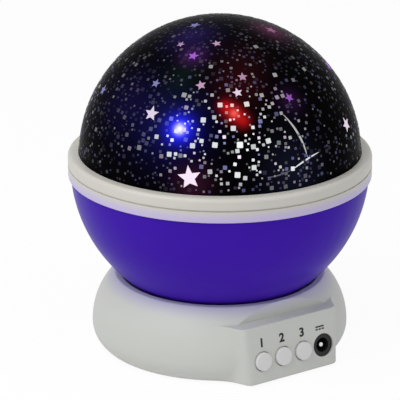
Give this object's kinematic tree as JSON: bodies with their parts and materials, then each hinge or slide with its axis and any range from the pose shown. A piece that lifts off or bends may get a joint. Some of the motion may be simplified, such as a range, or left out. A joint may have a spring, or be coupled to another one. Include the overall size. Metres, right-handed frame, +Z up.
{
  "type": "star night light projector",
  "caption": "Table night light: a black star dome on a purple bowl turns on a round base with push buttons and a power inlet, and lamps inside throw the stars on the walls.",
  "frame": {"origin": "on the floor, under the middle of the base", "axes": "+Z up along the axis that the globe turns about; the control panel faces -Y"},
  "size_m": [0.125, 0.125, 0.1387],
  "materials": {
    "housing_white": "smooth moulded, satin gloss",
    "bowl_purple": "smooth moulded, glossy",
    "trim_cream": "smooth moulded, satin gloss",
    "dome_black": "polished black with clear star windows",
    "button_white": "smooth moulded",
    "inlet_black": "moulded black",
    "pin_metal": "plated",
    "foot_rubber": "soft black rubber",
    "screw_steel": "zinc plated",
    "board_green": "solder mask",
    "switch_black": "moulded black",
    "cell_wrap": "plain printed wrap",
    "contact_plate": "nickel plated spring strip",
    "motor_can": "zinc plated can",
    "gear_nylon": "natural nylon",
    "post_white": "moulded white",
    "lamp_blue": "tinted clear lamp",
    "lamp_red": "tinted clear lamp",
    "lamp_green": "tinted clear lamp",
    "lamp_warm": "tinted clear lamp"
  },
  "bodies": {
    "base": {"base_shell": "housing_white", "base_bottom": "housing_white", "base_screws": "screw_steel", "rubber_feet": "foot_rubber", "battery_cells": "cell_wrap", "battery_contacts": "contact_plate", "switch_board": "board_green", "board_screws": "screw_steel", "tact_switches": "switch_black", "power_inlet": "inlet_black", "inlet_pin": "pin_metal", "drive_motor": "motor_can", "motor_bracket": "post_white", "idler_axle": "screw_steel", "light_post": "post_white", "post_screws": "screw_steel", "thrust_washer": "gear_nylon", "hub_clip": "gear_nylon", "light_board": "board_green", "head_screws": "screw_steel", "led_blue": "lamp_blue", "led_red": "lamp_red", "led_green": "lamp_green", "led_white": "lamp_warm"},
    "globe": {"lower_bowl": "bowl_purple", "ring_gear": "gear_nylon", "gear_screws": "screw_steel"},
    "dome": {"trim_ring": "trim_cream", "star_dome": "dome_black"},
    "output_drive": {"output_gear": "gear_nylon", "drive_pinion": "gear_nylon"},
    "idler": {"idler_gear": "gear_nylon"},
    "rotor": {"motor_pinion": "gear_nylon"},
    "door": {"battery_door": "housing_white", "door_screw": "screw_steel"},
    "push_1": {"button_1": "button_white", "plunger_1": "switch_black"},
    "push_2": {"button_2": "button_white", "plunger_2": "switch_black"},
    "push_3": {"button_3": "button_white", "plunger_3": "switch_black"}
  },
  "joints": [
    {"name": "globe_spin", "type": "hinge", "parent": "base", "child": "globe", "pos_m": [0, 0, 0.05], "axis": [0, 0, 1], "continuous": true},
    {"name": "dome_lift", "type": "slide", "parent": "globe", "child": "dome", "axis": [0, 0, 1], "range_m": [0, 0.08]},
    {"name": "output_spin", "type": "hinge", "parent": "base", "child": "output_drive", "pos_m": [0, 0.0264, 0.01], "axis": [0, 0, 1], "continuous": true},
    {"name": "idler_spin", "type": "hinge", "parent": "base", "child": "idler", "pos_m": [0.01202, 0.02985, 0.008], "axis": [0, 0, 1], "continuous": true},
    {"name": "rotor_spin", "type": "hinge", "parent": "base", "child": "rotor", "pos_m": [0.02376, 0.03412, 0.006], "axis": [0, 0, 1], "continuous": true},
    {"name": "door_swing", "type": "hinge", "parent": "base", "child": "door", "pos_m": [0, 0.0142, 0.0012], "axis": [1, 0, 0], "range_deg": [0, 60]},
    {"name": "button_1_press", "type": "slide", "parent": "base", "child": "push_1", "axis": [0, 0.989, -0.1478], "range_m": [0, 0.0006], "stiffness_N_per_m": 500, "springref_m": -0.002},
    {"name": "button_2_press", "type": "slide", "parent": "base", "child": "push_2", "axis": [0, 0.989, -0.1478], "range_m": [0, 0.0006], "stiffness_N_per_m": 500, "springref_m": -0.002},
    {"name": "button_3_press", "type": "slide", "parent": "base", "child": "push_3", "axis": [0, 0.989, -0.1478], "range_m": [0, 0.0006], "stiffness_N_per_m": 500, "springref_m": -0.002}
  ],
  "couplings": [
    {"joint": "output_spin", "follows": "globe_spin", "ratio": -4.5},
    {"joint": "idler_spin", "follows": "globe_spin", "ratio": 18},
    {"joint": "rotor_spin", "follows": "globe_spin", "ratio": -72}
  ]
}
